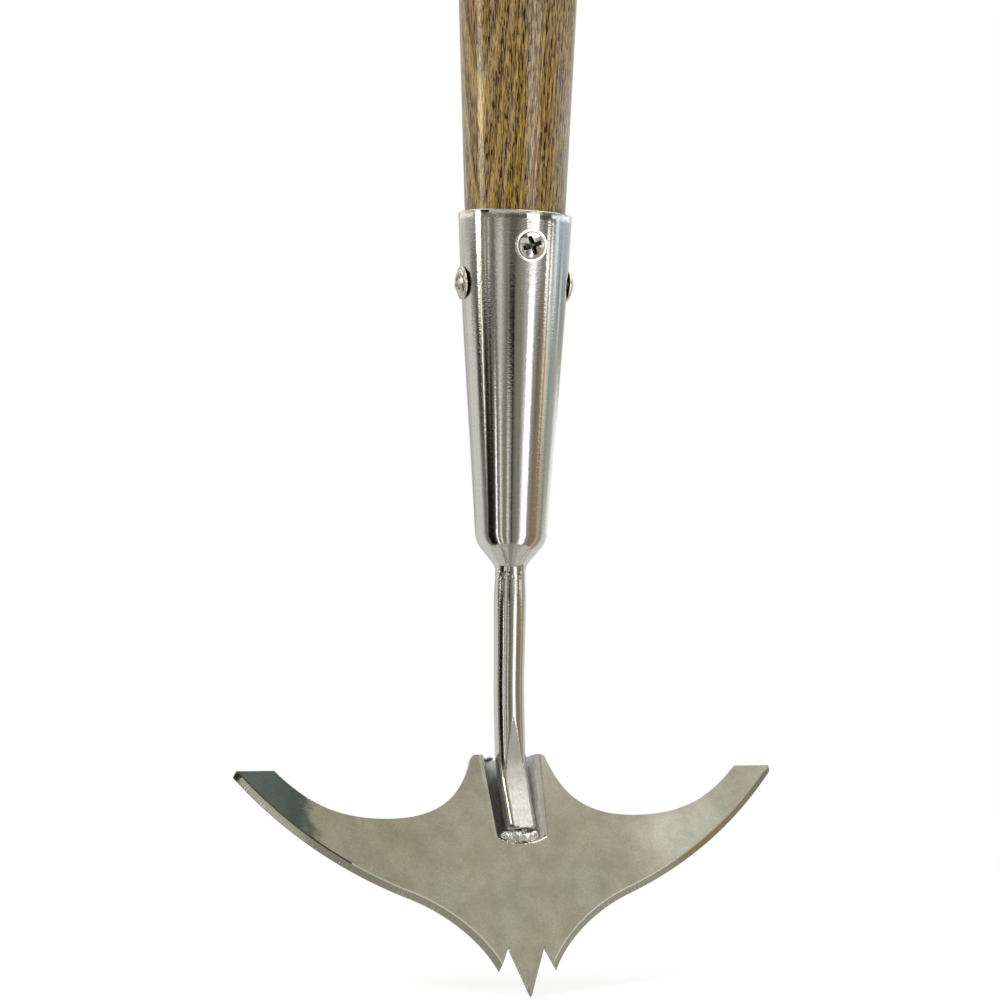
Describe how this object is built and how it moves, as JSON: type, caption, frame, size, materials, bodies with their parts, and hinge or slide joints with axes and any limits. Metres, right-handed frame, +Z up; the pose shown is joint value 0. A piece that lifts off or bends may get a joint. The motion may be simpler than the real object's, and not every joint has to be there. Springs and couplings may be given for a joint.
{
  "type": "wing hoe",
  "caption": "Long-handled weeding hoe: tilted bat-wing blade with bevelled edges and a toothed tip, welded round neck, conical socket screwed to a straight turned ash handle.",
  "frame": {"origin": "on the handle's axis, at the height of the lowest tooth's tip", "axes": "+Z up along the handle's axis, from the blade to the handle's end; -Y the side that the blade's bevels and its tip point to; X along the wings"},
  "size_m": [0.1624, 0.0447, 1.6304],
  "materials": {
    "blade_steel": "satin stainless sheet, fine brushed, ground bevels",
    "socket_steel": "cross-ground and polished stainless tube and rod",
    "weld_metal": "bright, lumpy weld bead, partly dressed",
    "screw_steel": "polished stainless",
    "ash": "oiled and lacquered brown ash, dark pores along the grain"
  },
  "bodies": {
    "root": {"handle": "ash", "socket": "socket_steel", "collar_weld": "weld_metal", "neck": "socket_steel", "blade": "blade_steel", "end_weld": "weld_metal", "tack_weld": "weld_metal", "screw_front": "screw_steel", "screw_back": "screw_steel", "screw_left": "screw_steel", "screw_right": "screw_steel"}
  },
  "joints": []
}
